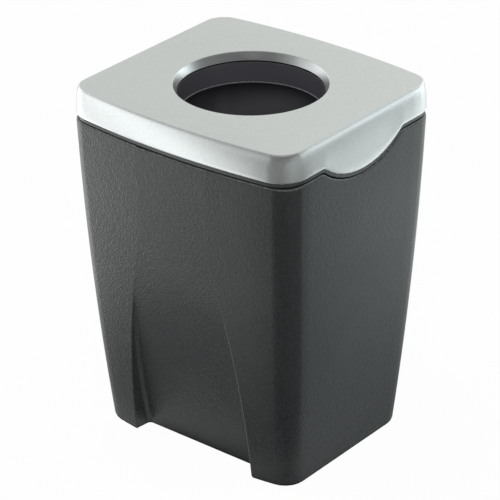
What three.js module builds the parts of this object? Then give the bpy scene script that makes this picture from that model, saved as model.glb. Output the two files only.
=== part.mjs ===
// Paper clip holder for a desk: a tapered charcoal cup with a lift-off silver lid.
// The lid has a round mouth in its middle, with a ring magnet behind the mouth's wall.
// Millimetres, +Z up. The origin is on the table, under the middle of the holder.
// The front is on the -Y side; the lid's two finger lobes are on the -X and +X sides.

import * as THREE from "three";

// Whole object
const overallHeight = 83;

// Cup, outside, at its rim
const rimBelowTop = 7.5; // from the lid's top face down to the cup's rim
const cupHalfWidth = 30.25;
const cupHalfDepth = 25.1; // at the ends of the bowed front
const cupBow = 2.6; // the front and back swell out this much in the middle
const cupCornerRadius = 5.2;
const footCornerRadius = 5; // the same corner at the table
const cupEdgeRound = 0.5; // round along the rim's outer edge
const cupFootRound = 0.7; // round along the bottom edge

// Cup, draft: the walls lean in at the rim and curve in further down
const sideLean = 0.026; // width lost on each side per mm of height, at the rim
const sideSweepRadius = 1540; // radius of the long curve of the side walls
const frontLean = 0.0329; // the same two values for the front and back
const frontSweepRadius = 972;

// Cup, walls
const cupWall = 2.2;
const cupFloor = 2.5;
const innerFloorRound = 1.2;
const standRimWidth = 2.4; // rim that runs round the underside
const undersideRecess = 1.05; // the underside is raised this much inside that rim

// Sunk panels in the front and back, between the corner feet
const cornerFootWidth = 9.64; // from the cup's side to the panel, at the table
const panelSideRadius = 195; // the panel's sides are arcs that close in upwards
const panelFootDepth = 17.1; // from the middle of the cup to the panel, at the table
const panelLean = 0.215; // the panel comes forward this much per mm of height
const panelSideDraft = 0.08; // sideways run of the step per mm of its depth
const panelInnerRound = 1; // radius of the inner corner where the step is deep
const panelEdgeBlend = 0.25; // softness of the outer edge
const panelTop = 54; // height at which the panel has run out into the wall

// Finger lobes: the lid's skirt and the cup's rim dip together on the left and right
const lobeDepth = 4.95;
const lobeHalfLength = 13.5;
const lobeFillet = 1.6;

// Lid cover: the edge of its top face, set in from the cup's rim
const lidSideStep = 0.75;
const lidFrontStep = 0.15;
const lidBowStep = 0.15; // the lid's front is this much less bowed
const lidCornerStep = 0.2; // and its corners have this much less radius
const lidPlate = 1.5; // thickness of the cover's top
const lidEdgeRound = 0.4;
const skirtHeight = 6.35;
const skirtSwell = 0.65; // the skirt curves out this far below the top edge
const skirtSideFlare = 0.4; // and this much further out on the left and right
const skirtCornerEase = 1.05; // the corners are this much rounder at the lower edge
const skirtEdgeRound = 0.45; // round along the skirt's lower edge
const skirtLipWall = 1.2; // thickness of the skirt's lower edge
const skirtRootInset = 1.4; // inner face of the skirt where it meets the top, from the top edge
const skirtRootRound = 0.5;
const lobeStartDepth = 2.2; // the lobes begin to draw the skirt down at this depth
const snapBeadHeight = 0.35; // bead inside the skirt that snaps over the frame
const snapBeadDrop = 4.4; // from the top face down to the bead

// Mouth
const mouthRadius = 16.8; // at the top face
const throatRadius = 15.95; // below the cover's coned lip
const mouthLipDepth = 1.9;
const mouthEdgeBreak = 0.12;
const mouthLipWall = 1.45;

// Lid frame
const framePlate = 1.6;
const frameWall = 1.7;
const spigotDepth = 3.6; // how far the frame reaches into the cup
const spigotWall = 1.5;
const spigotLeadIn = 0.3; // chamfer that leads the spigot into the cup
const magnetRibWall = 1.4;
const bandInset = 0.45; // the dark band under the skirt, in from the skirt's lower edge

// Mouth collar and ring magnet
const collarWall = 1.35;
const collarDraft = 0.1; // the collar widens this much towards its lower edge
const collarFlange = 1.1; // thickness of the flange under the magnet
const collarEdgeRound = 0.35;
const magnetWidth = 3.8; // from its bore to its rim
const magnetThickness = 2.3;
const magnetBevel = 0.25;

// Foot pads
const padRadius = 3.4;
const padThickness = 1.2;
const padRimGap = 0.6; // between the pad and the stand rim round it
const padChamfer = 0.2;

// Fits
const fitGap = 0.3; // between pieces that sit in or on each other
const lidLandGap = 0.3; // the dark parting line between the lid and the cup
const snapGap = 0.2;

// Steps of the curved outlines
const bowSteps = 6;
const panelSteps = 3;
const panelRoundSteps = 3;
const panelRows = 10;
const innerRows = 5;
const flankSteps = 2;
const cornerSteps = 5;
const shoulderSteps = 2;
const filletSteps = 2;
const lobeSteps = 6;
const roundSteps = 2;
const skirtSteps = 6;
const latheSteps = 48;
const padSteps = 18;

// Sizes that follow from those above
const rimZ = overallHeight - rimBelowTop;
const footZ = padThickness - undersideRecess; // the cup's lowest edge, held up by the pads
const undersideZ = footZ + undersideRecess;
const floorZ = undersideZ + cupFloor;
const lidUndersideZ = overallHeight - lidPlate;
const framePlateTop = lidUndersideZ - fitGap;
const framePlateBottom = framePlateTop - framePlate;
const magnetTop = framePlateBottom - fitGap;
const magnetBottom = magnetTop - magnetThickness;
const flangeTop = magnetBottom - fitGap;
const flangeBottom = flangeTop - collarFlange;
const collarTop = overallHeight - mouthLipDepth - fitGap;
const collarOuterRadius = throatRadius + collarWall;
const magnetBore = collarOuterRadius + fitGap;
const magnetRadius = magnetBore + magnetWidth;
const pocketRadius = magnetRadius + fitGap;
const frameHoleRadius = throatRadius + mouthLipWall + fitGap;
const lidHalfWidth = cupHalfWidth - lidSideStep;
const lidHalfDepth = cupHalfDepth - lidFrontStep;
const lidBow = cupBow - lidBowStep;
const lidCornerRadius = cupCornerRadius - lidCornerStep;

const silverPaint = new THREE.MeshStandardMaterial({ color: 0xc3c8c5, roughness: 0.35, metalness: 0.7 });
const charcoalPlastic = new THREE.MeshStandardMaterial({ color: 0x45474a, roughness: 0.6, metalness: 0 });
const darkPlastic = new THREE.MeshStandardMaterial({ color: 0x303234, roughness: 0.5, metalness: 0 });
const glossBlack = new THREE.MeshStandardMaterial({ color: 0x141416, roughness: 0.18, metalness: 0 });
const magnetPlate = new THREE.MeshStandardMaterial({ color: 0x8b8e92, roughness: 0.3, metalness: 1 });
const padRubber = new THREE.MeshStandardMaterial({ color: 0x1d1d1f, roughness: 0.9, metalness: 0 });

// How far the rim dips at a place along the side: a shallow arc with filleted ends.
const lobeRadius = (lobeHalfLength ** 2 + lobeDepth ** 2) / (2 * lobeDepth);
const lobeCentreDrop = lobeFillet + lobeRadius - lobeDepth;
const lobeFilletEnd = Math.sqrt((lobeRadius + lobeFillet) ** 2 - lobeCentreDrop ** 2);
const lobeArcEnd = (lobeFilletEnd * lobeRadius) / (lobeRadius + lobeFillet);

function lobeDrop(y) {
  const along = Math.abs(y);
  if (along >= lobeFilletEnd) return 0;
  if (along >= lobeArcEnd) return lobeFillet - Math.sqrt(lobeFillet ** 2 - (lobeFilletEnd - along) ** 2);
  return Math.sqrt(lobeRadius ** 2 - along ** 2) - (lobeRadius - lobeDepth);
}

// Places along the side, from the end of the lobe's fillet to the middle of the side.
const lobeStations = [];
for (let i = 0; i < filletSteps; i++) {
  lobeStations.push(lobeFilletEnd + ((lobeArcEnd - lobeFilletEnd) * i) / filletSteps);
}
const lobeHalfAngle = Math.asin(lobeArcEnd / lobeRadius);
for (let i = 0; i <= lobeSteps; i++) {
  lobeStations.push(lobeRadius * Math.sin(lobeHalfAngle * (1 - i / lobeSteps)));
}

// The corner arc and the bowed front of an outline, drawn in by an inset.
function bowedCorner(plan, inset) {
  const radius = Math.max(plan.cornerRadius - inset, 0.8);
  const bowRadius = (plan.halfWidth ** 2 + plan.bow ** 2) / (2 * plan.bow) - inset;
  const bowCentre = bowRadius + inset - plan.halfDepth - plan.bow;
  const x = plan.halfWidth - inset - radius;
  const y = bowCentre - Math.sqrt((bowRadius - radius) ** 2 - x ** 2);
  const startAngle = Math.atan2(y - bowCentre, x);
  return { radius, bowRadius, bowCentre, x, y, startAngle, frontEnd: x + radius * Math.cos(startAngle) };
}

const bowedFront = (corner, x) => corner.bowCentre - Math.sqrt(corner.bowRadius ** 2 - x ** 2);

// A quarter of a ring, from the middle of the front to the middle of the right side.
// Each point holds x, y and how far the rim dips there.
function quarterOutline(plan, inset, frontPoints) {
  const corner = bowedCorner(plan, inset);
  const points = frontPoints(corner);
  for (let i = 0; i < cornerSteps; i++) {
    const angle = corner.startAngle * (1 - i / cornerSteps);
    points.push({
      x: corner.x + corner.radius * Math.cos(angle),
      y: corner.y + corner.radius * Math.sin(angle),
      dip: 0,
    });
  }
  const side = plan.halfWidth - inset;
  const squeeze = plan.stationScale ?? 1;
  for (let i = 0; i < shoulderSteps; i++) {
    const end = -lobeFilletEnd * squeeze;
    points.push({ x: side, y: corner.y + ((end - corner.y) * i) / shoulderSteps, dip: 0 });
  }
  for (const station of lobeStations) {
    points.push({ x: side, y: -station * squeeze, dip: lobeDrop(station) });
  }
  return points;
}

// The other three quarters mirror the first, so the ring runs once round, seen from above.
function wholeRing(quarter) {
  const outward = quarter.slice(0, -1);
  const returning = quarter.slice(1).reverse();
  const placed = (points, sx, sy) => points.map((p) => ({ x: sx * p.x, y: sy * p.y, dip: p.dip }));
  return [
    ...outward,
    ...placed(returning, 1, -1),
    ...placed(outward, -1, -1),
    ...placed(returning, -1, 1),
  ];
}

// Joins rings of equal count into one closed body. closedSection joins the last ring to the
// first; otherwise the first and last rings are capped with flat faces.
function loft(rings, closedSection) {
  const count = rings[0].length;
  const positions = [];
  for (const ring of rings) {
    for (const p of ring) positions.push(p.x, p.y, p.z);
  }
  const faces = [];
  const bands = closedSection ? rings.length : rings.length - 1;
  for (let r = 0; r < bands; r++) {
    const low = r * count;
    const high = ((r + 1) % rings.length) * count;
    for (let i = 0; i < count; i++) {
      const j = (i + 1) % count;
      faces.push(low + i, low + j, high + j);
      faces.push(low + i, high + j, high + i);
    }
  }
  if (!closedSection) {
    const flat = (ring) => ring.map((p) => new THREE.Vector2(p.x, p.y));
    const top = (rings.length - 1) * count;
    for (const [a, b, c] of THREE.ShapeUtils.triangulateShape(flat(rings[0]), [])) faces.push(c, b, a);
    for (const [a, b, c] of THREE.ShapeUtils.triangulateShape(flat(rings.at(-1)), [])) {
      faces.push(top + a, top + b, top + c);
    }
  }
  const geometry = new THREE.BufferGeometry();
  geometry.setAttribute("position", new THREE.Float32BufferAttribute(positions, 3));
  geometry.setIndex(faces);
  return geometry;
}

// Cup outline at a height: the wall's lean and sweep, and the room left for the side stations.
function cupPlan(z) {
  const fall = rimZ - z;
  const halfDepth = cupHalfDepth - fall * frontLean - fall ** 2 / (2 * frontSweepRadius);
  return {
    halfWidth: cupHalfWidth - fall * sideLean - fall ** 2 / (2 * sideSweepRadius),
    halfDepth,
    bow: cupBow,
    cornerRadius: cupCornerRadius + ((footCornerRadius - cupCornerRadius) * fall) / rimZ,
  };
}

const shoulderCorner = bowedCorner(cupPlan(panelTop), 0);
const panelHalfWidth = cupPlan(0).halfWidth - cornerFootWidth;

// The smaller of two values, with a soft change between them.
const softLess = (a, b, blend) => (a + b - Math.hypot(a - b, blend)) / 2;

// Front of the cup at a height, with the sunk panel and the step up to the flank beside it.
function cupFront(z, inset) {
  return (corner) => {
    const rise = Math.min(z, panelTop);
    const creaseX = panelHalfWidth + inset - rise ** 2 / (2 * panelSideRadius);
    const panelY = panelFootDepth + panelLean * z - inset;
    const stepDepth = Math.max(-bowedFront(corner, creaseX) - panelY, 0);
    const stepFoot = creaseX - panelSideDraft * stepDepth - panelEdgeBlend;
    const round = Math.min(panelInnerRound, 0.15 + 0.6 * stepDepth);
    const draftAngle = Math.atan2(1, panelSideDraft);
    const roundCentre = stepFoot + round * (panelSideDraft - Math.hypot(1, panelSideDraft));
    const roundEnd = roundCentre + round * Math.sin(draftAngle);
    const stepRise = (x) => {
      if (x <= roundCentre) return 0;
      if (x >= roundEnd) return (x - stepFoot) / panelSideDraft;
      return round - Math.sqrt(round ** 2 - (x - roundCentre) ** 2);
    };
    const places = [];
    for (let i = 0; i <= panelSteps; i++) places.push((roundCentre * i) / panelSteps);
    for (let i = 1; i <= panelRoundSteps; i++) {
      places.push(roundCentre + round * Math.sin((draftAngle * i) / panelRoundSteps));
    }
    places.push(stepFoot + panelSideDraft * stepDepth + 0.3 * panelEdgeBlend);
    places.push(creaseX + 0.3 * panelEdgeBlend, creaseX + 1.7 * panelEdgeBlend);
    const flankStart = creaseX + 1.7 * panelEdgeBlend;
    for (let i = 1; i < flankSteps; i++) {
      places.push(flankStart + ((corner.frontEnd - flankStart) * i) / flankSteps);
    }
    return places.map((x) => {
      const step = panelY + stepRise(x);
      return { x, y: -softLess(-bowedFront(corner, x), step, panelEdgeBlend), dip: 0 };
    });
  };
}

// One ring of the cup. Below the panel's top the ring is level; above it the ring follows the
// dipping rim more and more.
function cupRing(z, inset) {
  const plan = cupPlan(z);
  const above = Math.max(z - panelTop, 0) / (rimZ - panelTop);
  plan.stationScale = above > 0 ? 1 : bowedCorner(plan, 0).y / shoulderCorner.y;
  return wholeRing(quarterOutline(plan, inset, cupFront(z, inset))).map((p) => {
    const height = z - p.dip * above;
    const x = p.dip * above > 0 ? Math.sign(p.x) * (cupPlan(height).halfWidth - inset) : p.x;
    return { x, y: p.y, z: height };
  });
}

function makeCup() {
  const rings = [];
  rings.push(cupRing(undersideZ, standRimWidth + 0.3).map((p) => ({ ...p, z: undersideZ })));
  rings.push(cupRing(footZ, standRimWidth));
  for (let i = 0; i <= roundSteps; i++) {
    const turn = (Math.PI / 2) * (i / roundSteps);
    rings.push(cupRing(footZ + cupFootRound * (1 - Math.cos(turn)), cupFootRound * (1 - Math.sin(turn))));
  }
  for (let i = 1; i <= panelRows; i++) rings.push(cupRing((panelTop * i) / panelRows, 0));
  rings.push(cupRing((panelTop + rimZ) / 2, 0));
  for (let i = 0; i <= roundSteps; i++) {
    const turn = (Math.PI / 2) * (i / roundSteps);
    rings.push(cupRing(rimZ - cupEdgeRound * (1 - Math.sin(turn)), cupEdgeRound * (1 - Math.cos(turn))));
  }
  rings.push(cupRing(rimZ, cupWall));
  rings.push(cupRing((panelTop + rimZ) / 2, cupWall));
  const innerFootZ = floorZ + innerFloorRound;
  for (let i = 0; i <= innerRows; i++) {
    rings.push(cupRing(panelTop - ((panelTop - innerFootZ) * i) / innerRows, cupWall));
  }
  rings.push(cupRing(floorZ, cupWall + innerFloorRound));
  return loft(rings, false);
}

// Lid outline at a depth below the top face.
function lidPlan(depth) {
  const share = Math.min(depth / skirtHeight, 1);
  return {
    halfWidth: lidHalfWidth + skirtSideFlare * share,
    halfDepth: lidHalfDepth,
    bow: lidBow,
    cornerRadius: lidCornerRadius + skirtCornerEase * share,
  };
}

// The plain bowed front of the lid.
function plainFront(corner) {
  const points = [];
  for (let i = 0; i < bowSteps; i++) {
    const x = (corner.frontEnd * i) / bowSteps;
    points.push({ x, y: bowedFront(corner, x), dip: 0 });
  }
  return points;
}

// How much a ring follows the lobes: not at all near the top face, fully at the skirt's edge.
function lobeShare(depth) {
  return Math.min(Math.max(depth - lobeStartDepth, 0) / (skirtHeight - lobeStartDepth), 1);
}

function lidRing(depth, inset, share = lobeShare(depth)) {
  return wholeRing(quarterOutline(lidPlan(depth), inset, plainFront)).map((p) => ({
    x: p.x,
    y: p.y,
    z: overallHeight - depth - p.dip * share,
  }));
}

// A ring that fits the cup's inner wall and dips as the rim does.
function spigotRing(z, inset) {
  const wallInset = cupWall + fitGap + inset;
  return wholeRing(quarterOutline(cupPlan(z), wallInset, plainFront)).map((p) => {
    const height = z - p.dip;
    const x = p.dip > 0 ? Math.sign(p.x) * (cupPlan(height).halfWidth - wallInset) : p.x;
    return { x, y: p.y, z: height };
  });
}

const lidRingCount = lidRing(0, 0).length;

function circleRing(radius, z) {
  return Array.from({ length: lidRingCount }, (_, i) => {
    const angle = -Math.PI / 2 + (2 * Math.PI * i) / lidRingCount;
    return { x: radius * Math.cos(angle), y: radius * Math.sin(angle), z };
  });
}

// How far the skirt stands outside the top edge, from its lower edge (0) to the top (1).
const skirtOut = (rise) => skirtSwell * (1 - rise ** 3);

// Inner face of the skirt: thinnest at its lower edge.
function skirtInnerInset(depth) {
  const share = (depth - lidPlate) / (skirtHeight - lidPlate);
  return skirtRootInset + (skirtLipWall - skirtSwell - skirtRootInset) * share;
}

function makeLidCover() {
  const rings = [];
  for (let i = 0; i <= roundSteps; i++) {
    const turn = (Math.PI / 2) * (i / roundSteps);
    const depth = skirtHeight - skirtEdgeRound * (1 - Math.cos(turn));
    rings.push(lidRing(depth, skirtEdgeRound * (1 - Math.sin(turn)) - skirtSwell));
  }
  for (let i = 1; i < skirtSteps; i++) {
    const rise = i / skirtSteps;
    rings.push(lidRing(skirtHeight * (1 - rise), -skirtOut(rise)));
  }
  for (let i = 0; i <= roundSteps; i++) {
    const turn = (Math.PI / 2) * (i / roundSteps);
    rings.push(lidRing(lidEdgeRound * (1 - Math.sin(turn)), lidEdgeRound * (1 - Math.cos(turn))));
  }
  const lipFoot = overallHeight - mouthLipDepth;
  rings.push(circleRing(mouthRadius + mouthEdgeBreak, overallHeight));
  rings.push(circleRing(mouthRadius, overallHeight - mouthEdgeBreak));
  rings.push(circleRing(throatRadius + mouthEdgeBreak, lipFoot + 2 * mouthEdgeBreak));
  rings.push(circleRing(throatRadius, lipFoot));
  rings.push(circleRing(throatRadius + mouthLipWall, lipFoot));
  rings.push(circleRing(throatRadius + mouthLipWall, lidUndersideZ));
  rings.push(lidRing(lidPlate, skirtRootInset + skirtRootRound));
  rings.push(lidRing(lidPlate + skirtRootRound, skirtInnerInset(lidPlate + skirtRootRound)));
  rings.push(lidRing(snapBeadDrop - snapBeadHeight, skirtInnerInset(snapBeadDrop - snapBeadHeight)));
  rings.push(lidRing(snapBeadDrop, skirtInnerInset(snapBeadDrop) + snapBeadHeight));
  rings.push(lidRing(snapBeadDrop + snapBeadHeight, skirtInnerInset(snapBeadDrop + snapBeadHeight)));
  rings.push(lidRing(skirtHeight, skirtLipWall - skirtSwell));
  return loft(rings, true);
}

function makeLidFrame() {
  const landZ = rimZ + lidLandGap;
  const landDepth = overallHeight - landZ;
  const spigotFoot = rimZ - spigotDepth;
  const outerInset = (depth) => skirtInnerInset(Math.min(depth, skirtHeight)) + fitGap;
  const grooveHalf = snapBeadHeight + snapGap;
  const rings = [];
  rings.push(spigotRing(spigotFoot, spigotLeadIn));
  rings.push(spigotRing(spigotFoot + 2 * spigotLeadIn, 0));
  rings.push(spigotRing(landZ, 0));
  const bandDepth = skirtHeight + fitGap;
  rings.push(lidRing(landDepth, bandInset - skirtSwell));
  rings.push(lidRing(bandDepth, bandInset - skirtSwell));
  rings.push(lidRing(bandDepth, outerInset(bandDepth)));
  rings.push(lidRing(snapBeadDrop + grooveHalf, outerInset(snapBeadDrop + grooveHalf)));
  rings.push(lidRing(snapBeadDrop, outerInset(snapBeadDrop) + grooveHalf));
  rings.push(lidRing(snapBeadDrop - grooveHalf, outerInset(snapBeadDrop - grooveHalf)));
  const topDepth = overallHeight - framePlateTop;
  rings.push(lidRing(topDepth, skirtRootInset + skirtRootRound + fitGap));
  rings.push(circleRing(frameHoleRadius, framePlateTop));
  rings.push(circleRing(frameHoleRadius, framePlateBottom));
  rings.push(circleRing(pocketRadius, framePlateBottom));
  rings.push(circleRing(pocketRadius, flangeBottom));
  rings.push(circleRing(pocketRadius + magnetRibWall, flangeBottom));
  rings.push(circleRing(pocketRadius + magnetRibWall, framePlateBottom));
  rings.push(lidRing(overallHeight - framePlateBottom, outerInset(landDepth) + frameWall, 0));
  rings.push(spigotRing(landZ, spigotWall));
  rings.push(spigotRing(spigotFoot, spigotWall));
  return loft(rings, true);
}

// A turned piece from a closed profile of [radius, height] points.
function turned(profile, steps) {
  const points = profile.map(([radius, z]) => new THREE.Vector2(radius, z));
  return new THREE.LatheGeometry(points, steps).rotateX(Math.PI / 2);
}

function makeMouthCollar() {
  const lowerBore = throatRadius + collarDraft;
  const profile = [[throatRadius, collarTop]];
  for (let i = 0; i <= roundSteps; i++) {
    const turn = (Math.PI / 2) * (i / roundSteps);
    const radius = lowerBore + collarEdgeRound * (1 - Math.cos(turn));
    profile.push([radius, flangeBottom + collarEdgeRound * (1 - Math.sin(turn))]);
  }
  profile.push([magnetRadius, flangeBottom], [magnetRadius, flangeTop]);
  profile.push([collarOuterRadius, flangeTop], [collarOuterRadius, collarTop], [throatRadius, collarTop]);
  return turned(profile, latheSteps);
}

function makeMagnetRing() {
  const bevel = magnetBevel;
  return turned(
    [
      [magnetBore, magnetTop - bevel],
      [magnetBore, magnetBottom + bevel],
      [magnetBore + bevel, magnetBottom],
      [magnetRadius - bevel, magnetBottom],
      [magnetRadius, magnetBottom + bevel],
      [magnetRadius, magnetTop - bevel],
      [magnetRadius - bevel, magnetTop],
      [magnetBore + bevel, magnetTop],
      [magnetBore, magnetTop - bevel],
    ],
    latheSteps,
  );
}

function makePad() {
  return turned(
    [
      [0, 0],
      [padRadius - padChamfer, 0],
      [padRadius, padChamfer],
      [padRadius, padThickness],
      [0, padThickness],
    ],
    padSteps,
  );
}

function piece(name, geometry, material) {
  const mesh = new THREE.Mesh(geometry, material);
  mesh.name = name;
  return mesh;
}

const cupGroup = new THREE.Group();
cupGroup.add(piece("cup", makeCup(), charcoalPlastic));
const padX = cupPlan(footZ).halfWidth - standRimWidth - padRimGap - padRadius;
const padY = panelFootDepth - standRimWidth - padRimGap - padRadius;
const padPlaces = { front_left: [-1, -1], front_right: [1, -1], back_left: [-1, 1], back_right: [1, 1] };
for (const [place, [sideX, sideY]] of Object.entries(padPlaces)) {
  const pad = piece(`foot_pad_${place}`, makePad(), padRubber);
  pad.position.set(sideX * padX, sideY * padY, 0);
  cupGroup.add(pad);
}

const lidGroup = new THREE.Group();
lidGroup.add(piece("lid_cover", makeLidCover(), silverPaint));
lidGroup.add(piece("lid_frame", makeLidFrame(), darkPlastic));
lidGroup.add(piece("mouth_collar", makeMouthCollar(), glossBlack));
lidGroup.add(piece("magnet_ring", makeMagnetRing(), magnetPlate));

const model = new THREE.Group();
model.add(cupGroup, lidGroup);

export default model;
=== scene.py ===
import math

import bpy
from mathutils import Matrix, Vector


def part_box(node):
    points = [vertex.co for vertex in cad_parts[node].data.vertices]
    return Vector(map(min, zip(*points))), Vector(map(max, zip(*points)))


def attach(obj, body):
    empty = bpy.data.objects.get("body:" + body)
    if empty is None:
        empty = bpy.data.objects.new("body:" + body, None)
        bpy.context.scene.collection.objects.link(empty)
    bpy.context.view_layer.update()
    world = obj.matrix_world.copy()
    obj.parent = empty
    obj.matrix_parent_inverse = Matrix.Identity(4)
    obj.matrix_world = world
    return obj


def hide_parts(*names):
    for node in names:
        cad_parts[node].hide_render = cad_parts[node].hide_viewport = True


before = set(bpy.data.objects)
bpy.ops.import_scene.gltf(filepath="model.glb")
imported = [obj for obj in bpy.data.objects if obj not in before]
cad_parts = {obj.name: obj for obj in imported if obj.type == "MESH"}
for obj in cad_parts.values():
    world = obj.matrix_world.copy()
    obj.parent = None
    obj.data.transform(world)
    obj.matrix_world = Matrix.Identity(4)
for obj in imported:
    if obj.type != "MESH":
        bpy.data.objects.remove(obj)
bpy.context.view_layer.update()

mm = 0.001
weldDistance = 0.002 * mm
scene = bpy.context.scene
scene.view_settings.view_transform = "Standard"
print("clip holder: frame loaded")


# Working on meshes

def clearSelection():
    if bpy.context.object and bpy.context.object.mode != "OBJECT":
        bpy.ops.object.mode_set(mode="OBJECT")
    bpy.ops.object.select_all(action="DESELECT")


def makeActive(piece):
    clearSelection()
    piece.select_set(True)
    bpy.context.view_layer.objects.active = piece


def bakeIn(piece, modifier):
    makeActive(piece)
    bpy.ops.object.modifier_apply(modifier=modifier.name)


def softenEdges(piece, width, angle, segments):
    bevel = piece.modifiers.new("edgeBreak", "BEVEL")
    bevel.limit_method = "ANGLE"
    bevel.angle_limit = math.radians(angle)
    bevel.width = width
    bevel.segments = segments
    bevel.miter_outer = "MITER_ARC"
    bevel.loop_slide = True
    bakeIn(piece, bevel)


def smoothShading(piece, angle):
    makeActive(piece)
    bpy.ops.object.shade_smooth_by_angle(angle=math.radians(angle))
    weighted = piece.modifiers.new("weightedNormals", "WEIGHTED_NORMAL")
    weighted.keep_sharp = True
    weighted.weight = 60
    bakeIn(piece, weighted)


# A copy of a CAD node's mesh, welded and back in quads, ready to be worked on.
def finerCopy(nodeName, pieceName):
    piece = bpy.data.objects.new(pieceName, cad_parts[nodeName].data.copy())
    piece.data.name = pieceName
    scene.collection.objects.link(piece)
    makeActive(piece)
    bpy.ops.object.mode_set(mode="EDIT")
    bpy.ops.mesh.select_all(action="SELECT")
    bpy.ops.mesh.remove_doubles(threshold=weldDistance)
    bpy.ops.mesh.tris_convert_to_quads(
        face_threshold=math.radians(30), shape_threshold=math.radians(80))
    bpy.ops.object.mode_set(mode="OBJECT")
    if piece.data.has_custom_normals:
        bpy.ops.mesh.customdata_custom_splitnormals_clear()
    return piece


# Draws a closed section of (radius, height) points by extruding one point, and spins it.
def turnedPiece(pieceName, section, centre, steps):
    clearSelection()
    start = Vector((centre[0] + section[0][0], centre[1], section[0][1]))
    bpy.ops.mesh.primitive_plane_add(size=mm, location=start)
    piece = bpy.context.object
    piece.name = piece.data.name = pieceName
    bpy.ops.object.mode_set(mode="EDIT")
    bpy.ops.mesh.select_mode(type="VERT")
    bpy.ops.mesh.select_all(action="SELECT")
    bpy.ops.mesh.merge(type="CENTER")
    for here, there in zip(section, section[1:] + section[:1]):
        step = (there[0] - here[0], 0, there[1] - here[1])
        bpy.ops.mesh.extrude_region_move(TRANSFORM_OT_translate={"value": step})
    bpy.ops.mesh.select_all(action="SELECT")
    bpy.ops.mesh.remove_doubles(threshold=weldDistance)
    bpy.ops.mesh.select_all(action="SELECT")
    bpy.ops.mesh.spin(
        steps=steps, angle=2 * math.pi, center=(centre[0], centre[1], 0), axis=(0, 0, 1))
    bpy.ops.mesh.select_all(action="SELECT")
    bpy.ops.mesh.remove_doubles(threshold=weldDistance)
    bpy.ops.mesh.normals_make_consistent(inside=False)
    bpy.ops.object.mode_set(mode="OBJECT")
    makeActive(piece)
    bpy.ops.object.transform_apply(location=True, rotation=True, scale=True)
    return piece


# Gives a piece its material, hangs it on the body it rides on and hides the CAD nodes that it
# replaces.
def settle(piece, body, slot, material, *nodes):
    piece.data.materials.clear()
    piece.data.materials.append(material)
    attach(piece, body)
    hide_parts(*nodes)
    print("clip holder:", piece.name, "done,", len(piece.data.polygons), "faces")


# Shader groups

def newGroup(name, inputs, outputs):
    group = bpy.data.node_groups.new(name, "ShaderNodeTree")
    for socketName, kind, value in inputs:
        socket = group.interface.new_socket(name=socketName, in_out="INPUT", socket_type=kind)
        if value is not None:
            socket.default_value = value
    for socketName, kind in outputs:
        group.interface.new_socket(name=socketName, in_out="OUTPUT", socket_type=kind)
    return group, group.nodes.new("NodeGroupInput"), group.nodes.new("NodeGroupOutput")


# Links a socket where the value is another node's output, and sets it where it is a plain value.
def feed(tree, value, socket):
    if isinstance(value, bpy.types.NodeSocket):
        tree.links.new(value, socket)
    elif value is not None:
        socket.default_value = value


def mathNode(tree, operation, first, second=None, third=None, clamp=False):
    node = tree.nodes.new("ShaderNodeMath")
    node.operation = operation
    node.use_clamp = clamp
    for socket, value in zip(node.inputs, (first, second, third)):
        feed(tree, value, socket)
    return node.outputs[0]


def vectorMath(tree, operation, first, second=None):
    node = tree.nodes.new("ShaderNodeVectorMath")
    node.operation = operation
    for socket, value in zip(node.inputs, (first, second)):
        feed(tree, value, socket)
    return node.outputs["Value" if operation == "DOT_PRODUCT" else "Vector"]


# The outputs X, Y and Z of a vector that is taken apart.
def axesOf(tree, vector):
    split = tree.nodes.new("ShaderNodeSeparateXYZ")
    tree.links.new(vector, split.inputs[0])
    return split.outputs


def noiseNode(tree, vector, scale, detail, roughness):
    node = tree.nodes.new("ShaderNodeTexNoise")
    node.inputs["Detail"].default_value = detail
    node.inputs["Roughness"].default_value = roughness
    feed(tree, scale, node.inputs["Scale"])
    tree.links.new(vector, node.inputs["Vector"])
    return node.outputs["Fac"]


def spread(tree, value, fromLow, fromHigh, toLow, toHigh, kind="SMOOTHSTEP"):
    node = tree.nodes.new("ShaderNodeMapRange")
    node.interpolation_type = kind
    tree.links.new(value, node.inputs["Value"])
    limits = {"From Min": fromLow, "From Max": fromHigh, "To Min": toLow, "To Max": toHigh}
    for name, amount in limits.items():
        feed(tree, amount, node.inputs[name])
    return node.outputs["Result"]


def mixColours(tree, factor, first, second, blend="MIX"):
    node = tree.nodes.new("ShaderNodeMix")
    node.data_type = "RGBA"
    node.blend_type = blend
    node.clamp_factor = True
    feed(tree, factor, node.inputs["Factor"])
    for name, value in (("A", first), ("B", second)):
        feed(tree, value, [s for s in node.inputs if s.name == name and s.type == "RGBA"][0])
    return [s for s in node.outputs if s.type == "RGBA"][0]


def placeGroup(tree, group, place, values):
    node = tree.nodes.new("ShaderNodeGroup")
    node.node_tree = group
    tree.links.new(place, node.inputs["Vector"])
    for name, value in values.items():
        feed(tree, value, node.inputs[name])
    return node


skin = {
    "wanderPerCell": 0.6,  # waves per cell of the noise that bends the pattern
    "wanderReach": 0.9,  # how far the pattern is bent, in cells
    "cellSmoothness": 0.8,
    "valley": (0.10, 0.62),  # from the middle of a cell outwards, in cells
    "valleyDepth": 0.6,
    "finePerCell": 1.9,
    "fineHeight": 0.45,
    "swellPerCell": 0.42,
    "edgeTurn": (0.88, 0.985),  # cosine between the rounded edge and its face
    "innerRelief": 0.25,  # share of the relief on faces that look inwards
    "underRoughness": 0.85,
}


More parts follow.
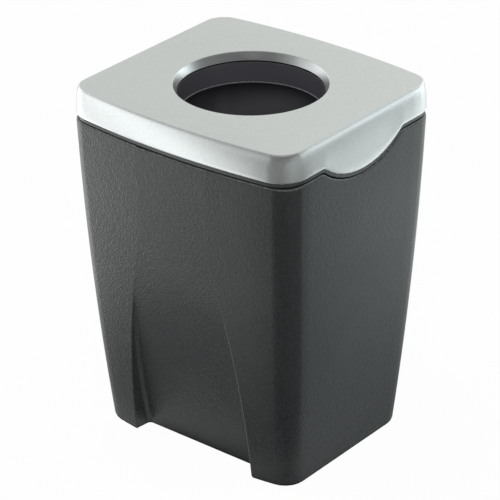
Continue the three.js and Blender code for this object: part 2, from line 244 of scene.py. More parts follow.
# Grain of a moulded plastic skin: rounded cells with valleys between them, over a slower swell.
# Edges are rounded in the shading, and the output Edge is 1 along them.
def buildMouldedGrain():
    group, given, made = newGroup(
        "mouldedGrain",
        [
            ("Vector", "NodeSocketVector", None),
            ("Cells per metre", "NodeSocketFloat", 2000.0),
            ("Relief", "NodeSocketFloat", 0.5),
            ("Depth", "NodeSocketFloat", 0.03 * mm),
            ("Edge radius", "NodeSocketFloat", 0.2 * mm),
        ],
        [
            ("Normal", "NodeSocketVector"),
            ("Valley", "NodeSocketFloat"),
            ("Edge", "NodeSocketFloat"),
        ],
    )
    vector, cells = given.outputs["Vector"], given.outputs["Cells per metre"]
    wander = group.nodes.new("ShaderNodeTexNoise")
    wander.inputs["Detail"].default_value = 1.0
    group.links.new(vector, wander.inputs["Vector"])
    wanderScale = mathNode(group, "MULTIPLY", cells, skin["wanderPerCell"])
    group.links.new(wanderScale, wander.inputs["Scale"])
    centred = vectorMath(group, "SUBTRACT", wander.outputs["Color"], (0.5, 0.5, 0.5))
    shift = group.nodes.new("ShaderNodeVectorMath")
    shift.operation = "SCALE"
    group.links.new(centred, shift.inputs["Vector"])
    group.links.new(mathNode(group, "DIVIDE", skin["wanderReach"], cells), shift.inputs["Scale"])
    bent = vectorMath(group, "ADD", vector, shift.outputs["Vector"])
    voronoi = group.nodes.new("ShaderNodeTexVoronoi")
    voronoi.feature = "SMOOTH_F1"
    voronoi.inputs["Smoothness"].default_value = skin["cellSmoothness"]
    group.links.new(bent, voronoi.inputs["Vector"])
    group.links.new(cells, voronoi.inputs["Scale"])
    valley = spread(group, voronoi.outputs["Distance"], *skin["valley"], 0.0, 1.0)
    fineScale = mathNode(group, "MULTIPLY", cells, skin["finePerCell"])
    swellScale = mathNode(group, "MULTIPLY", cells, skin["swellPerCell"])
    fine = noiseNode(group, vector, fineScale, 2.0, 0.6)
    swell = noiseNode(group, vector, swellScale, 2.0, 0.55)
    height = mathNode(group, "MULTIPLY_ADD", valley, -skin["valleyDepth"], 1.0)
    height = mathNode(group, "MULTIPLY_ADD", fine, skin["fineHeight"], height)
    height = mathNode(group, "ADD", swell, height)
    rounded = group.nodes.new("ShaderNodeBevel")
    rounded.samples = 6
    group.links.new(given.outputs["Edge radius"], rounded.inputs["Radius"])
    bump = group.nodes.new("ShaderNodeBump")
    group.links.new(rounded.outputs["Normal"], bump.inputs["Normal"])
    group.links.new(height, bump.inputs["Height"])
    group.links.new(given.outputs["Relief"], bump.inputs["Strength"])
    group.links.new(given.outputs["Depth"], bump.inputs["Distance"])
    group.links.new(bump.outputs["Normal"], made.inputs["Normal"])
    group.links.new(valley, made.inputs["Valley"])
    flat = group.nodes.new("ShaderNodeNewGeometry").outputs["True Normal"]
    turned = vectorMath(group, "DOT_PRODUCT", rounded.outputs["Normal"], flat)
    group.links.new(spread(group, turned, *skin["edgeTurn"], 1.0, 0.0), made.inputs["Edge"])
    return group


flakes = {
    "height": 0.004 * mm,
    "cloudsPerFlake": 0.02,
    "cloudBand": (0.3, 0.7),
    "cloudGain": (0.993, 1.007),
}


# Flakes in a metallic paint: each small cell a little lighter or darker, and tilted.
def buildPaintFlakes():
    group, given, made = newGroup(
        "paintFlakes",
        [
            ("Vector", "NodeSocketVector", None),
            ("Paint", "NodeSocketColor", (0.7, 0.7, 0.7, 1)),
            ("Flakes per metre", "NodeSocketFloat", 6000.0),
            ("Sparkle", "NodeSocketFloat", 0.2),
            ("Tilt", "NodeSocketFloat", 0.1),
        ],
        [("Color", "NodeSocketColor"), ("Normal", "NodeSocketVector")],
    )
    vector, flakeScale = given.outputs["Vector"], given.outputs["Flakes per metre"]
    voronoi = group.nodes.new("ShaderNodeTexVoronoi")
    group.links.new(vector, voronoi.inputs["Vector"])
    group.links.new(flakeScale, voronoi.inputs["Scale"])
    parts = group.nodes.new("ShaderNodeSeparateColor")
    group.links.new(voronoi.outputs["Color"], parts.inputs["Color"])
    gain = spread(group, parts.outputs["Red"], 0.0, 1.0, -1.0, 1.0, "LINEAR")
    gain = mathNode(group, "MULTIPLY", gain, given.outputs["Sparkle"])
    gain = mathNode(group, "ADD", gain, 1.0)
    cloudScale = mathNode(group, "MULTIPLY", flakeScale, flakes["cloudsPerFlake"])
    cloud = noiseNode(group, vector, cloudScale, 3.0, 0.5)
    cloud = spread(group, cloud, *flakes["cloudBand"], *flakes["cloudGain"])
    gain = mathNode(group, "MULTIPLY", gain, cloud)
    tint = group.nodes.new("ShaderNodeCombineColor")
    for name in ("Red", "Green", "Blue"):
        group.links.new(gain, tint.inputs[name])
    colour = mixColours(group, 1.0, given.outputs["Paint"], tint.outputs["Color"], "MULTIPLY")
    bump = group.nodes.new("ShaderNodeBump")
    bump.inputs["Distance"].default_value = flakes["height"]
    group.links.new(parts.outputs["Green"], bump.inputs["Height"])
    group.links.new(given.outputs["Tilt"], bump.inputs["Strength"])
    group.links.new(colour, made.inputs["Color"])
    group.links.new(bump.outputs["Normal"], made.inputs["Normal"])
    return group


touch = {
    "patchScale": 55.0,
    "patchBand": (0.35, 0.7),
    "streakStretch": (1.0, 1.0, 0.25),
    "streakScale": 700.0,
    "streakShare": 0.8,
    "speckScale": 260.0,
    "speckSize": (0.02, 0.05),
    "speckBand": (0.55, 0.62),
    "filmScale": 90.0,
    "filmBand": (0.4, 0.75),
    "filmShare": 0.12,
}


# Traces of handling: soft patches that are a little duller, and a few specks of dust.
def buildHandling():
    group, given, made = newGroup(
        "handling",
        [
            ("Vector", "NodeSocketVector", None),
            ("Colour", "NodeSocketColor", (0.5, 0.5, 0.5, 1)),
            ("Dust colour", "NodeSocketColor", (0.5, 0.5, 0.48, 1)),
            ("Dust", "NodeSocketFloat", 0.1),
            ("Roughness", "NodeSocketFloat", 0.4),
            ("Patches", "NodeSocketFloat", 0.05),
        ],
        [("Color", "NodeSocketColor"), ("Roughness", "NodeSocketFloat")],
    )
    vector = given.outputs["Vector"]
    patch = noiseNode(group, vector, touch["patchScale"], 4.0, 0.6)
    patch = spread(group, patch, *touch["patchBand"], -1.0, 1.0)
    streak = group.nodes.new("ShaderNodeMapping")
    streak.inputs["Scale"].default_value = touch["streakStretch"]
    group.links.new(vector, streak.inputs["Vector"])
    rub = noiseNode(group, streak.outputs["Vector"], touch["streakScale"], 2.0, 0.6)
    rub = mathNode(group, "SUBTRACT", rub, 0.5)
    patch = mathNode(group, "MULTIPLY_ADD", rub, touch["streakShare"], patch)
    patches, plain = given.outputs["Patches"], given.outputs["Roughness"]
    rough = mathNode(group, "MULTIPLY_ADD", patch, patches, plain, clamp=True)
    specks = group.nodes.new("ShaderNodeTexVoronoi")
    specks.inputs["Scale"].default_value = touch["speckScale"]
    group.links.new(vector, specks.inputs["Vector"])
    dot = spread(group, specks.outputs["Distance"], *touch["speckSize"], 1.0, 0.0)
    some = noiseNode(group, vector, touch["filmScale"], 2.0, 0.5)
    dot = mathNode(group, "MULTIPLY", dot, spread(group, some, *touch["speckBand"], 0.0, 1.0))
    film = spread(group, some, *touch["filmBand"], 0.0, 1.0)
    film = mathNode(group, "MULTIPLY_ADD", film, touch["filmShare"], dot)
    film = mathNode(group, "MULTIPLY", film, given.outputs["Dust"], clamp=True)
    colour = mixColours(group, film, given.outputs["Colour"], given.outputs["Dust colour"])
    group.links.new(colour, made.inputs["Color"])
    group.links.new(rough, made.inputs["Roughness"])
    return group


rims = {
    "rise": (0.12, 0.5),  # Z of the normal where the rim begins
    "level": (0.8, 0.97),  # and where the face is too level for it
    "speckScale": 1900.0,
    "speckBand": (0.42, 0.62),
    "speckLeast": 0.35,
    "turnedUnder": (-0.60, -0.28),  # Z of the normal
    "underHeight": (0.55 * mm, 1.1 * mm),
}


# Painted highlight on rims where a top edge turns over, broken up in specks, and painted shade
# where a face turns under and close above the table.
def buildRimHighlightAndShade():
    group, given, made = newGroup(
        "rimHighlightAndShade",
        [
            ("Vector", "NodeSocketVector", None),
            ("Colour", "NodeSocketColor", (0.1, 0.1, 0.1, 1)),
            ("Highlight colour", "NodeSocketColor", (0.3, 0.3, 0.3, 1)),
            ("Under shade colour", "NodeSocketColor", (0.01, 0.01, 0.01, 1)),
            ("Amount", "NodeSocketFloat", 0.5),
        ],
        [("Color", "NodeSocketColor"), ("Under", "NodeSocketFloat")],
    )
    normal = group.nodes.new("ShaderNodeNewGeometry").outputs["Normal"]
    facing = axesOf(group, normal)["Z"]
    # painted highlight: faces that turn up at a rim are lightened, in specks
    rise = spread(group, facing, *rims["rise"], 0.0, 1.0)
    rim = mathNode(group, "MULTIPLY", rise, spread(group, facing, *rims["level"], 1.0, 0.0))
    specks = noiseNode(group, given.outputs["Vector"], rims["speckScale"], 2.0, 0.7)
    specks = spread(group, specks, *rims["speckBand"], rims["speckLeast"], 1.0)
    rim = mathNode(group, "MULTIPLY", rim, specks)
    share = mathNode(group, "MULTIPLY", rim, given.outputs["Amount"], clamp=True)
    colour = mixColours(group, share, given.outputs["Colour"], given.outputs["Highlight colour"])
    # painted shade: darker where a face turns under and in the lowest millimetre above the table
    under = spread(group, facing, *rims["turnedUnder"], 1.0, 0.0)
    height = axesOf(group, given.outputs["Vector"])["Z"]
    low = spread(group, height, *rims["underHeight"], 1.0, 0.0)
    under = mathNode(group, "MAXIMUM", under, low)
    colour = mixColours(group, under, colour, given.outputs["Under shade colour"])
    group.links.new(colour, made.inputs["Color"])
    group.links.new(under, made.inputs["Under"])
    return group


mouldedGrain = buildMouldedGrain()
rimHighlightAndShade = buildRimHighlightAndShade()
paintFlakes = buildPaintFlakes()
handling = buildHandling()
print("clip holder: shader groups made")


def newMaterial(name):
    material = bpy.data.materials.new(name)
    material.use_nodes = True
    tree = material.node_tree
    surface = tree.nodes["Principled BSDF"]
    place = tree.nodes.new("ShaderNodeTexCoord").outputs["Object"]
    return material, tree, surface, place


sunkPanel = {
    "lean": 0.215,  # forward per height
    "behind": (15.8 * mm, 16.4 * mm),  # depth at the table, from the middle to the panel's back
    "inward": (-0.35, -0.1),  # cosine between a face's normal and the way out
}


# 1 on the faces that look in towards the middle of the holder, 0 on the outer ones and on the
# steps beside the sunk panels, which lean forward.
def facesInward(tree, place):
    level = vectorMath(tree, "MULTIPLY", place, (1.0, 1.0, 0.0))
    outward = vectorMath(tree, "NORMALIZE", level)
    normal = tree.nodes.new("ShaderNodeNewGeometry").outputs["True Normal"]
    inward = vectorMath(tree, "DOT_PRODUCT", normal, outward)
    inward = spread(tree, inward, *sunkPanel["inward"], 1.0, 0.0)
    along = axesOf(tree, place)
    depth = mathNode(tree, "ABSOLUTE", along["Y"])
    depth = mathNode(tree, "MULTIPLY_ADD", along["Z"], -sunkPanel["lean"], depth)
    return mathNode(tree, "MULTIPLY", inward, spread(tree, depth, *sunkPanel["behind"], 1.0, 0.0))


# Painted highlight along the rounded edges, more on the right half than on the left.
def paintEdgeHighlight(tree, place, edge, tone, look):
    along = axesOf(tree, place)
    share = spread(tree, along["X"], *look["edgeAcross"], 0.0, look["edgeHighlightAmount"])
    start = spread(tree, along["Z"], *look["edgeStart"], 0.0, 1.0)
    end = spread(tree, along["Z"], *look["edgeEnd"], 1.0, 0.0)
    for part in (start, end, edge):
        share = mathNode(tree, "MULTIPLY", share, part)
    return mixColours(tree, share, tone, look["edgeHighlightColour"])


# 1 less the wear of the grain where a hand holds the cup, high on its right half.
def unwornShare(tree, place, look):
    along = axesOf(tree, place)
    across = spread(tree, along["X"], *look["gripAcross"], 0.0, look["gripWear"])
    up = spread(tree, along["Z"], *look["gripUp"], 0.0, 1.0)
    return mathNode(tree, "SUBTRACT", 1.0, mathNode(tree, "MULTIPLY", across, up))


def grainedPlastic(name, look):
    material, tree, surface, place = newMaterial(name)
    inner = facesInward(tree, place)
    innerRelief = skin["innerRelief"] * look["relief"]
    relief = spread(tree, inner, 0.0, 1.0, look["relief"], innerRelief, "LINEAR")
    if "gripWear" in look:
        relief = mathNode(tree, "MULTIPLY", relief, unwornShare(tree, place, look))
    grain = placeGroup(tree, mouldedGrain, place, {
        "Cells per metre": look["cellsPerMetre"],
        "Relief": relief,
        "Depth": look["depth"],
        "Edge radius": look["edgeRadius"],
    })
    tone = mixColours(tree, grain.outputs["Valley"], look["colour"], look["valleyColour"])
    # painted light: faces that look inwards are lightened
    tone = mixColours(tree, inner, tone, look["innerLightColour"])
    # painted highlight along the crease edges
    if "edgeHighlightColour" in look:
        tone = paintEdgeHighlight(tree, place, grain.outputs["Edge"], tone, look)
    # painted highlight on up-turned rims and painted shade under the piece
    litAndShaded = placeGroup(tree, rimHighlightAndShade, place, {
        "Colour": tone,
        "Highlight colour": look["rimHighlightColour"],
        "Under shade colour": look["underShadeColour"],
        "Amount": look["rimHighlightAmount"],
    })
    under = litAndShaded.outputs["Under"]
    roughness = spread(tree, under, 0.0, 1.0, look["roughness"], skin["underRoughness"], "LINEAR")
    touched = placeGroup(tree, handling, place, {
        "Colour": litAndShaded.outputs["Color"],
        "Dust": look["dust"],
        "Roughness": roughness,
        "Patches": look["patches"],
    })
    tree.links.new(touched.outputs["Color"], surface.inputs["Base Color"])
    tree.links.new(touched.outputs["Roughness"], surface.inputs["Roughness"])
    tree.links.new(grain.outputs["Normal"], surface.inputs["Normal"])
    surface.inputs["Specular IOR Level"].default_value = look["specular"]
    return material


def flakedMetal(name, look):
    material, tree, surface, place = newMaterial(name)
    paint = placeGroup(tree, paintFlakes, place, {
        "Paint": look["colour"],
        "Flakes per metre": look["flakesPerMetre"],
        "Sparkle": look["sparkle"],
        "Tilt": look["tilt"],
    })
    touched = placeGroup(tree, handling, place, {
        "Colour": paint.outputs["Color"],
        "Dust": look["dust"],
        "Roughness": look["roughness"],
        "Patches": look["patches"],
    })
    tree.links.new(touched.outputs["Color"], surface.inputs["Base Color"])
    tree.links.new(touched.outputs["Roughness"], surface.inputs["Roughness"])
    tree.links.new(paint.outputs["Normal"], surface.inputs["Normal"])
    surface.inputs["Metallic"].default_value = look["metallic"]
    surface.inputs["Coat Weight"].default_value = look["coat"]
    surface.inputs["Coat Roughness"].default_value = look["coatRoughness"]
    return material


# Cup

cup = {
    "edgeBreak": 0.15 * mm,
    "breakAngle": 60,
    "breakSteps": 2,
    "smoothAngle": 180,
    "look": {
        "colour": (0.0256, 0.0266, 0.0278, 1),
        "valleyColour": (0.0180, 0.0188, 0.0198, 1),
        # painted light on faces that look inwards
        "innerLightColour": (0.10, 0.10, 0.11, 1),
        # painted shade where the piece turns under and near the table
        "underShadeColour": (0.004, 0.004, 0.004, 1),
        # painted highlight on rims that turn up
        "rimHighlightColour": (0.20, 0.205, 0.205, 1),
        "rimHighlightAmount": 0.5,
        # painted highlight along the rounded edges, on the right half
        "edgeHighlightColour": (0.22, 0.225, 0.23, 1),
        "edgeHighlightAmount": 1.0,
        "edgeAcross": (-12 * mm, 10 * mm),
        "edgeStart": (3 * mm, 6 * mm),
        "edgeEnd": (52 * mm, 58 * mm),
        "cellsPerMetre": 2000.0,
        "relief": 0.74,
        "gripWear": 0.72,
        "gripAcross": (4 * mm, 20 * mm),
        "gripUp": (8 * mm, 36 * mm),
        "depth": 0.10 * mm,
        "edgeRadius": 0.4 * mm,
        "roughness": 0.33,
        "patches": 0.02,
        "dust": 0.05,
        "specular": 0.58,
    },
}
charcoalPlastic = grainedPlastic("charcoalPlastic", cup["look"])
cupShell = finerCopy("cup", "cupShell")
softenEdges(cupShell, cup["edgeBreak"], cup["breakAngle"], cup["breakSteps"])
smoothShading(cupShell, cup["smoothAngle"])
settle(cupShell, "cup", "cup_plastic", charcoalPlastic, "cup")

# Foot pads

pads = {
    "dish": 0.12 * mm,
    "steps": 40,
    "smoothAngle": 40,
    "look": {
        "colour": (0.013, 0.013, 0.014, 1),
        "valleyColour": (0.010, 0.010, 0.011, 1),
        # painted light on faces that look inwards
        "innerLightColour": (0.012, 0.012, 0.013, 1),
        # painted shade where the piece turns under and near the table
        "underShadeColour": (0.012, 0.012, 0.013, 1),
        # painted highlight on rims that turn up
        "rimHighlightColour": (0.03, 0.03, 0.03, 1),
        "rimHighlightAmount": 0.2,
        "cellsPerMetre": 3600.0,
        "relief": 0.4,
        "depth": 0.02 * mm,
        "edgeRadius": 0.05 * mm,
        "roughness": 0.72,
        "patches": 0.05,
        "dust": 0.35,
        "specular": 0.35,
    },
}
padRubber = grainedPlastic("padRubber", pads["look"])


# A pad fills its CAD node's box. Its section starts in the middle of the top and runs down, under
# the dished face and up the rim.
def makePad(pieceName, nodeName):
    low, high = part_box(nodeName)
    centre = ((low[0] + high[0]) / 2, (low[1] + high[1]) / 2)
    r, t, dish = (high[0] - low[0]) / 2, high[2] - low[2], pads["dish"]
    section = [
        (0.0, t), (0.0, dish), (0.45 * r, dish), (0.6 * r, 0.0), (0.9 * r, 0.0),
        (0.97 * r, 0.04 * t), (r, 0.17 * t), (r, 0.9 * t), (0.96 * r, t),
    ]
    pad = turnedPiece(pieceName, section, centre, pads["steps"])
    smoothShading(pad, pads["smoothAngle"])
    settle(pad, "cup", "pad_rubber", padRubber, nodeName)


for depthWord in ("front", "back"):
    for sideWord in ("left", "right"):
        padName = "footPad" + depthWord.title() + sideWord.title()
        makePad(padName, f"foot_pad_{depthWord}_{sideWord}")

# Lid cover

lidCover = {
    "edgeBreak": 0.1 * mm,
    "breakAngle": 50,
    "breakSteps": 2,
    "smoothAngle": 180,
    "look": {
        "colour": (0.748, 0.757, 0.757, 1),
        "flakesPerMetre": 4600.0,
        "sparkle": 0.05,
        "tilt": 0.02,
        "metallic": 0.85,
        "roughness": 0.28,
        "patches": 0.006,
        "dust": 0.02,
        "coat": 0.08,
        "coatRoughness": 0.25,
    },
}
silverPaint = flakedMetal("silverPaint", lidCover["look"])
coverShell = finerCopy("lid_cover", "lidCoverShell")
softenEdges(coverShell, lidCover["edgeBreak"], lidCover["breakAngle"], lidCover["breakSteps"])
smoothShading(coverShell, lidCover["smoothAngle"])
settle(coverShell, "lid", "lid_silver", silverPaint, "lid_cover")

# Lid frame

lidFrame = {
    "edgeBreak": 0.1 * mm,
    "breakAngle": 50,
    "breakSteps": 2,
    "smoothAngle": 180,
    "bandRise": 0.27 * mm,  # the band's ledge comes up to the skirt's lower edge
    "bandBelow": 77.0 * mm,
    "look": {
        "colour": (0.034, 0.035, 0.037, 1),
        "valleyColour": (0.028, 0.029, 0.031, 1),
        # painted light on faces that look inwards
        "innerLightColour": (0.10, 0.10, 0.11, 1),
        # painted shade where the piece turns under and near the table
        "underShadeColour": (0.02, 0.02, 0.02, 1),
        # painted highlight on rims that turn up
        "rimHighlightColour": (0.14, 0.145, 0.145, 1),
        "rimHighlightAmount": 0.3,
        "cellsPerMetre": 3000.0,
        "relief": 0.3,
        "depth": 0.04 * mm,
        "edgeRadius": 0.12 * mm,
        "roughness": 0.28,
        "patches": 0.03,
        "dust": 0.05,
        "specular": 0.65,
    },
}
darkPlastic = grainedPlastic("darkPlastic", lidFrame["look"])


# Lifts the ledge under the skirt: its faces are the low ones that look up.
def raiseBand(piece, rise, below):
    makeActive(piece)
    bpy.ops.object.mode_set(mode="EDIT")
    bpy.ops.mesh.select_all(action="DESELECT")
    bpy.ops.object.mode_set(mode="OBJECT")
    for face in piece.data.polygons:
        face.select = face.normal.z > 0.5 and face.center.z < below
    bpy.ops.object.mode_set(mode="EDIT")
    bpy.ops.mesh.select_mode(type="FACE")
    bpy.ops.transform.translate(value=(0, 0, rise))
    bpy.ops.object.mode_set(mode="OBJECT")


frameShell = finerCopy("lid_frame", "lidFrameShell")
raiseBand(frameShell, lidFrame["bandRise"], lidFrame["bandBelow"])
softenEdges(frameShell, lidFrame["edgeBreak"], lidFrame["breakAngle"], lidFrame["breakSteps"])
smoothShading(frameShell, lidFrame["smoothAngle"])
settle(frameShell, "lid", "frame_plastic", darkPlastic, "lid_frame")

# Mouth collar

collarLow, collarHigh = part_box("mouth_collar")
collar = {
    "bore": 15.95 * mm,
    "outer": 17.3 * mm,
    "flange": collarHigh[0],
    "top": collarHigh[2],
    "flangeTop": 76.7 * mm,
    "bottom": collarLow[2],
    "boreRound": 0.05 * mm,
    "edgeRound": 0.1 * mm,
    "footInset": 0.4 * mm,
    "bead": 0.2 * mm,  # how far the bead round the lower edge comes in
    "beadTop": 0.75 * mm,
    "beadMiddle": 0.3 * mm,
    "beadHalfHeight": 0.22 * mm,
    "beadSteps": 6,
    "steps": 96,
    "smoothAngle": 50,
    "look": {
        "colour": (0.020, 0.020, 0.0235, 1),
        "valleyColour": (0.018, 0.018, 0.0215, 1),
        # painted light on faces that look inwards
        "innerLightColour": (0.062, 0.062, 0.070, 1),
        # painted shade where the piece turns under and near the table
        "underShadeColour": (0.03, 0.03, 0.034, 1),
        # painted highlight on rims that turn up
        "rimHighlightColour": (0.30, 0.30, 0.31, 1),
        "rimHighlightAmount": 0.5,
        "cellsPerMetre": 900.0,
        "relief": 0.05,
        "depth": 0.02 * mm,
        "edgeRadius": 0.08 * mm,
        "roughness": 0.22,
        "patches": 0.03,
        "dust": 0.06,
        "specular": 0.5,
    },
}
polishedBlack = grainedPlastic("polishedBlack", collar["look"])


def collarSection(c):
    edge, flange, top, bottom = c["edgeRound"], c["flange"], c["top"], c["bottom"]
    wall = c["bore"] + c["boreRound"]
    section = [(wall, top), (c["bore"], top - c["boreRound"]), (wall, bottom + c["beadTop"])]
    for i in range(c["beadSteps"] + 1):
        turn = math.pi * i / c["beadSteps"]
        height = bottom + c["beadMiddle"] + c["beadHalfHeight"] * math.cos(turn)
        section.append((wall - c["bead"] * math.sin(turn), height))
    section += [(c["bore"] + c["footInset"], bottom), (flange - edge, bottom)]
    section += [(flange, bottom + edge), (flange, c["flangeTop"] - edge)]
    section += [(flange - edge, c["flangeTop"]), (c["outer"], c["flangeTop"])]
    section += [(c["outer"], top - edge), (c["outer"] - edge, top)]
    return section


mouthCollar = turnedPiece("mouthCollar", collarSection(collar), (0.0, 0.0), collar["steps"])
smoothShading(mouthCollar, collar["smoothAngle"])
settle(mouthCollar, "lid", "collar_black", polishedBlack, "mouth_collar")

# Ring magnet: the CAD node itself, with a plated finish

magnet = {
    "look": {
        "colour": (0.46, 0.45, 0.43, 1),
        "flakesPerMetre": 2500.0,
        "sparkle": 0.08,
        "tilt": 0.2,
        "metallic": 1.0,
        "roughness": 0.28,
        "patches": 0.06,
        "dust": 0.05,
        "coat": 0.0,
        "coatRoughness": 0.1,
    },
}
magnetPlate = flakedMetal("magnetPlate", magnet["look"])
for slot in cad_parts["magnet_ring"].material_slots:
    slot.material = magnetPlate
print("clip holder: magnet ring plated")

# Studio

studio = {
    "cameraTarget": (-0.372 * mm, -0.365 * mm, 42.57 * mm),
    "cameraAzimuth": 39.12,
    "cameraElevation": 27.56,
    "cameraRoll": -0.44,
    "cameraDistance": 619.22 * mm,
    "cameraLens": 202.09,
    "sensorWidth": 36.0,
    "cameraReach": 20.0,
    "floorRadius": 2.5,
    "floorSides": 96,
    "floorColour": (0.90, 0.90, 0.90, 1),
    "floorGlow": 0.96,  # share of plain white that the camera sees in the floor
    "ringCentre": (0.030, -0.025),
    # a ring's stops: azimuth from the front towards the right, brightness in a mirror,
    # and its red and its blue against green
    "floorRing": [
        (-90, 2.40, 0.98, 1.0), (-77, 1.80, 0.97, 1.0), (-64, 1.00, 0.97, 1.0),
        (-50, 1.42, 0.95, 0.99), (-43, 1.55, 0.95, 0.99), (-35, 1.02, 0.94, 0.98),
        (-23, 0.24, 0.92, 0.97), (0, 0.10, 0.90, 0.94), (39, 0.08, 0.90, 0.93),
        (81, 0.20, 0.88, 0.96), (125, 0.16, 0.88, 1.0), (136, 0.15, 0.88, 1.0),
        (143, 0.39, 0.89, 1.0), (151, 1.25, 0.90, 0.99), (165, 1.30, 0.91, 0.99),
        (225, 0.50, 0.95, 1.0), (252, 0.80, 0.97, 1.0), (270, 2.40, 0.98, 1.0),
    ],
    "farBand": (0.12, 0.45),  # to the right of the middle
    "farGain": 1.8,
    "footHalf": (0.0262, 0.0230),
    "footSquareness": 4.0,
    "contactBand": (0.72, 0.86),
    "contactShade": 0.02,
    "shadeTurn": (-0.032, -0.012),  # from the front's shade to the sides'
    "frontShade": 0.125,
    "sideShade": 0.36,
    "shadeStart": 1.2,
    "shadeReach": 5.0,
    "wallRing": [
        (-90, 1.35, 0.98, 1.0), (-60, 1.35, 0.97, 1.0), (-42, 1.50, 0.95, 0.99),
        (-24, 0.55, 0.94, 0.98), (10, 0.06, 0.94, 0.98), (60, 0.04, 0.94, 0.98),
        (95, 0.28, 0.93, 0.99), (115, 0.30, 0.91, 1.0), (130, 0.55, 0.90, 1.0),
        (142, 1.75, 0.90, 1.0), (154, 2.30, 0.90, 1.0), (176, 1.80, 0.94, 0.98),
        (206, 0.85, 0.95, 0.96), (222, 0.75, 0.95, 0.95), (270, 1.35, 0.98, 1.0),
    ],
    "upperRing": [
        (-90, 1.50, 0.98, 1.0), (-60, 0.62, 0.97, 1.0), (-42, 0.58, 0.95, 0.99),
        (-24, 0.22, 0.94, 0.98), (10, 0.03, 0.94, 0.98), (60, 0.02, 0.94, 0.98),
        (95, 0.06, 0.93, 0.99), (115, 0.06, 0.91, 1.0), (130, 0.16, 0.90, 1.0),
        (142, 0.60, 0.90, 1.0), (154, 1.00, 0.90, 1.0), (180, 1.35, 0.94, 0.98),
        (206, 1.00, 0.95, 0.96), (222, 0.72, 0.95, 0.95), (270, 1.50, 0.98, 1.0),
    ],
    "upperFrom": (0.05, 0.30),
    "ceilingFrom": (0.50, 0.85),
    "ceiling": 0.30,
    "skyFill": 0.45,
    "lampAim": Vector((0, 0, 0.05)),
    "lampDistance": 1.0,
    "lamps": [
        {"name": "keySoftbox", "azimuth": -70.0, "elevation": 25.0, "size": 0.5, "power": 3.5},
        {"name": "fillSoftbox", "azimuth": 130.0, "elevation": 20.0, "size": 0.6, "power": 1.5},
        {"name": "frontSoftbox", "azimuth": 39.0, "elevation": 33.0, "size": 0.35, "power": 4.5},
    ],
}
ringGain = 3.0  # the ramps hold values up to 1, so their strength carries the rest


def direction(azimuth, elevation):
    a, e = math.radians(azimuth), math.radians(elevation)
    return Vector((math.sin(a) * math.cos(e), -math.cos(a) * math.cos(e), math.sin(e)))


def addCamera(s):
    back = direction(s["cameraAzimuth"], s["cameraElevation"])
    turn, roll = math.radians(s["cameraAzimuth"]), math.radians(s["cameraRoll"])
    level = Vector((math.cos(turn), math.sin(turn), 0))
    upright = back.cross(level)
    right = level * math.cos(roll) + upright * math.sin(roll)
    up = upright * math.cos(roll) - level * math.sin(roll)
    bpy.ops.object.camera_add()
    camera = bpy.context.object
    camera.name = "photoCamera"
    camera.data.lens = s["cameraLens"]
    camera.data.sensor_width = s["sensorWidth"]
    camera.data.clip_end = s["cameraReach"]
    place = Vector(s["cameraTarget"]) + back * s["cameraDistance"]
    camera.matrix_world = Matrix((
        (right.x, up.x, back.x, place.x),
        (right.y, up.y, back.y, place.y),
        (right.z, up.z, back.z, place.z),
        (0, 0, 0, 1),
    ))
    scene.camera = camera


def addLamp(lamp, distance, aim):
    place = direction(lamp["azimuth"], lamp["elevation"]) * distance + aim
    bpy.ops.object.light_add(type="AREA", location=place)
    light = bpy.context.object
    light.name = lamp["name"]
    light.data.shape = "DISK"
    light.data.size = lamp["size"]
    light.data.energy = lamp["power"]
    light.visible_glossy = False
    light.rotation_euler = (place - aim).to_track_quat("Z", "Y").to_euler()


# Brightness round the object: a radial gradient about one point, read through a ramp of stops.
def lightRing(tree, vector, centre, stops):
    about = tree.nodes.new("ShaderNodeMapping")
    about.inputs["Location"].default_value = (-centre[0], -centre[1], 0)
    tree.links.new(vector, about.inputs["Vector"])
    radial = tree.nodes.new("ShaderNodeTexGradient")
    radial.gradient_type = "RADIAL"
    tree.links.new(about.outputs["Vector"], radial.inputs["Vector"])
    ramp = tree.nodes.new("ShaderNodeValToRGB")
    ramp.color_ramp.interpolation = "EASE"
    tree.links.new(radial.outputs["Fac"], ramp.inputs["Fac"])
    points = ramp.color_ramp.elements
    while len(points) < len(stops):
        points.new(0.5)
    for point, stop in zip(points, stops):
        point.position = (stop[0] + 90) / 360
    for point, (azimuth, level, red, blue) in zip(points, stops):
        level = level / ringGain
        point.color = (level * red, level, level * blue, 1)
    return ramp.outputs["Color"]


# Distance from the foot's outline, a rounded rectangle: 1 on it, 2 at twice its size.
def fromFoot(tree, place, half, squareness):
    along = axesOf(tree, place)
    total = 0.0
    for axis, reach in zip("XY", half):
        share = mathNode(tree, "DIVIDE", mathNode(tree, "ABSOLUTE", along[axis]), reach)
        total = mathNode(tree, "ADD", mathNode(tree, "POWER", share, squareness), total)
    return mathNode(tree, "POWER", total, 1 / squareness)


def mixShaders(tree, factor, first, second):
    node = tree.nodes.new("ShaderNodeMixShader")
    feed(tree, factor, node.inputs["Fac"])
    tree.links.new(first.outputs[0], node.inputs[1])
    tree.links.new(second.outputs[0], node.inputs[2])
    return node


# 1 where a surface is seen in a mirror or through something clear.
def inMirror(tree, light):
    glossy, transmitted = light.outputs["Is Glossy Ray"], light.outputs["Is Transmission Ray"]
    return mathNode(tree, "MAXIMUM", glossy, transmitted)


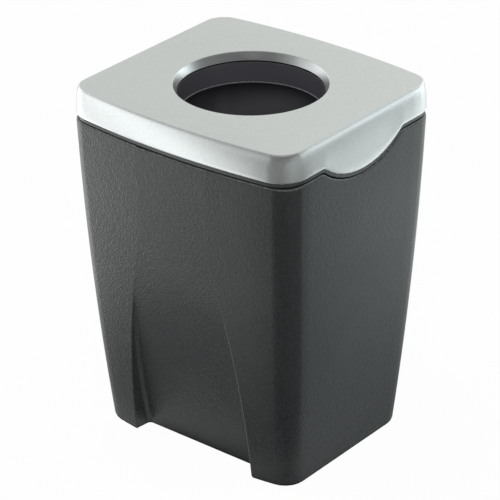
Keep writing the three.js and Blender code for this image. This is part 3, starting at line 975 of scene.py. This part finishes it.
# What a shiny face mirrors of the floor: the ring of light, dark close round the foot.
def mirroredFloor(tree, s):
    place = tree.nodes.new("ShaderNodeTexCoord").outputs["Object"]
    glow = tree.nodes.new("ShaderNodeEmission")
    tree.links.new(lightRing(tree, place, s["ringCentre"], s["floorRing"]), glow.inputs["Color"])
    away = fromFoot(tree, place, s["footHalf"], s["footSquareness"])
    along = axesOf(tree, place)
    contact = spread(tree, away, *s["contactBand"], s["contactShade"], 1.0)
    front, side = s["frontShade"] * ringGain, s["sideShade"] * ringGain
    shade = spread(tree, along["Y"], *s["shadeTurn"], front, side)
    near = spread(tree, away, s["shadeStart"], s["shadeReach"], shade, ringGain)
    far = spread(tree, along["X"], *s["farBand"], 1.0, s["farGain"])
    strength = mathNode(tree, "MULTIPLY", contact, mathNode(tree, "MULTIPLY", near, far))
    tree.links.new(strength, glow.inputs["Strength"])
    return glow


def addFloor(s):
    clearSelection()
    bpy.ops.mesh.primitive_circle_add(
        vertices=s["floorSides"], radius=s["floorRadius"], fill_type="NGON")
    floor = bpy.context.object
    floor.name = "studioFloor"
    material = bpy.data.materials.new("studioFloor")
    material.use_nodes = True
    tree = material.node_tree
    tree.nodes.clear()
    out = tree.nodes.new("ShaderNodeOutputMaterial")
    sheet = tree.nodes.new("ShaderNodeBsdfDiffuse")
    sheet.inputs["Color"].default_value = s["floorColour"]
    white = tree.nodes.new("ShaderNodeEmission")
    white.inputs["Strength"].default_value = 1.0
    light = tree.nodes.new("ShaderNodeLightPath")
    direct = mixShaders(tree, s["floorGlow"], sheet, white)
    others = mixShaders(tree, inMirror(tree, light), sheet, mirroredFloor(tree, s))
    final = mixShaders(tree, light.outputs["Is Camera Ray"], others, direct)
    tree.links.new(final.outputs[0], out.inputs["Surface"])
    floor.data.materials.append(material)


def lightWorld(s):
    world = bpy.data.worlds.new("studioWorld")
    scene.world = world
    world.use_nodes = True
    tree = world.node_tree
    tree.nodes.clear()
    out = tree.nodes.new("ShaderNodeOutputWorld")
    sky = tree.nodes.new("ShaderNodeBackground")
    place = tree.nodes.new("ShaderNodeTexCoord").outputs["Generated"]
    height = axesOf(tree, place)["Z"]
    walls = lightRing(tree, place, (0, 0), s["wallRing"])
    upper = lightRing(tree, place, (0, 0), s["upperRing"])
    walls = mixColours(tree, spread(tree, height, *s["upperFrom"], 0.0, 1.0), walls, upper)
    ceiling = spread(tree, height, *s["ceilingFrom"], 0.0, 1.0)
    top, fill, plain = s["ceiling"] / ringGain, s["skyFill"] / ringGain, 1 / ringGain
    mirrored = mixColours(tree, ceiling, walls, (top, top, top, 1))
    light = tree.nodes.new("ShaderNodeLightPath")
    colour = mixColours(tree, inMirror(tree, light), (fill, fill, fill, 1), mirrored)
    colour = mixColours(tree, light.outputs["Is Camera Ray"], colour, (plain, plain, plain, 1))
    tree.links.new(colour, sky.inputs["Color"])
    sky.inputs["Strength"].default_value = ringGain
    tree.links.new(sky.outputs[0], out.inputs["Surface"])


addCamera(studio)
for lamp in studio["lamps"]:
    addLamp(lamp, studio["lampDistance"], studio["lampAim"])
addFloor(studio)
lightWorld(studio)
print("clip holder: studio lit")
